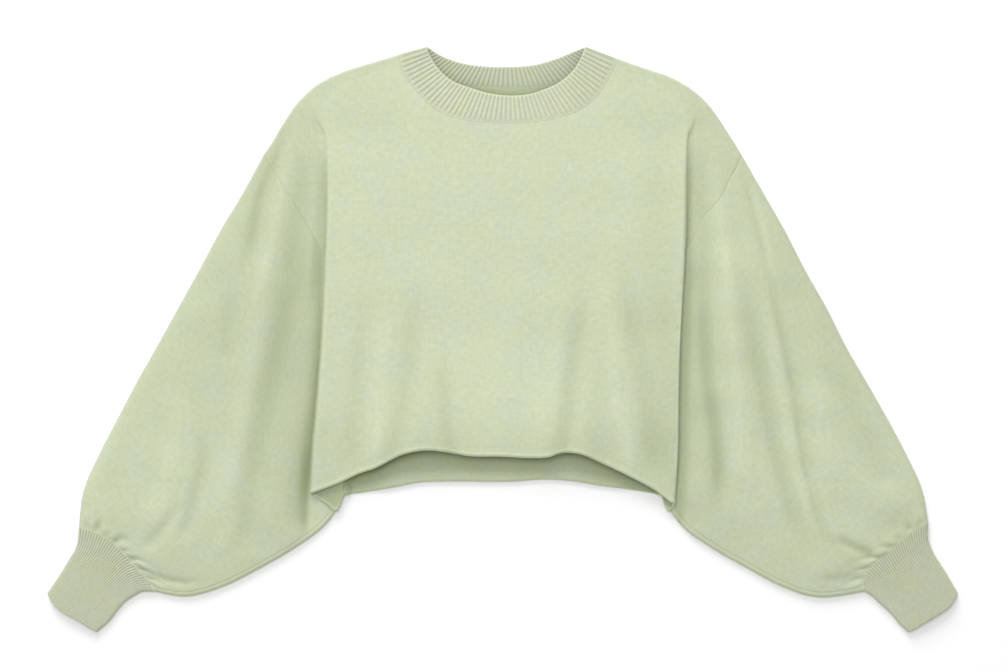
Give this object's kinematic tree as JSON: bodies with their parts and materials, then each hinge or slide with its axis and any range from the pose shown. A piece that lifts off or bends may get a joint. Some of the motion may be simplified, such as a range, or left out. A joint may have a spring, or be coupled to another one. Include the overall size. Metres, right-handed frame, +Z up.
{
  "type": "cropped knit sweater",
  "caption": "Cropped knit sweater with balloon sleeves, ribbed cuffs and a ribbed crew neckband, laid flat on its back.",
  "frame": {"origin": "centre of the garment's outline, on the surface it lies on", "axes": "+X across the shoulders towards the sleeve on the viewer's right, +Y from the hem to the neck, +Z up out of the front"},
  "size_m": [1.001, 0.644, 0.026],
  "materials": {
    "body_knit": "fine heathered plain knit, matt",
    "rib_knit": "fine rib knit, matt"
  },
  "bodies": {
    "root": {"body_front": "body_knit", "body_back": "body_knit", "sleeve_left": "body_knit", "sleeve_right": "body_knit", "cuff_left": "rib_knit", "cuff_right": "rib_knit", "neckband": "rib_knit"}
  },
  "joints": []
}
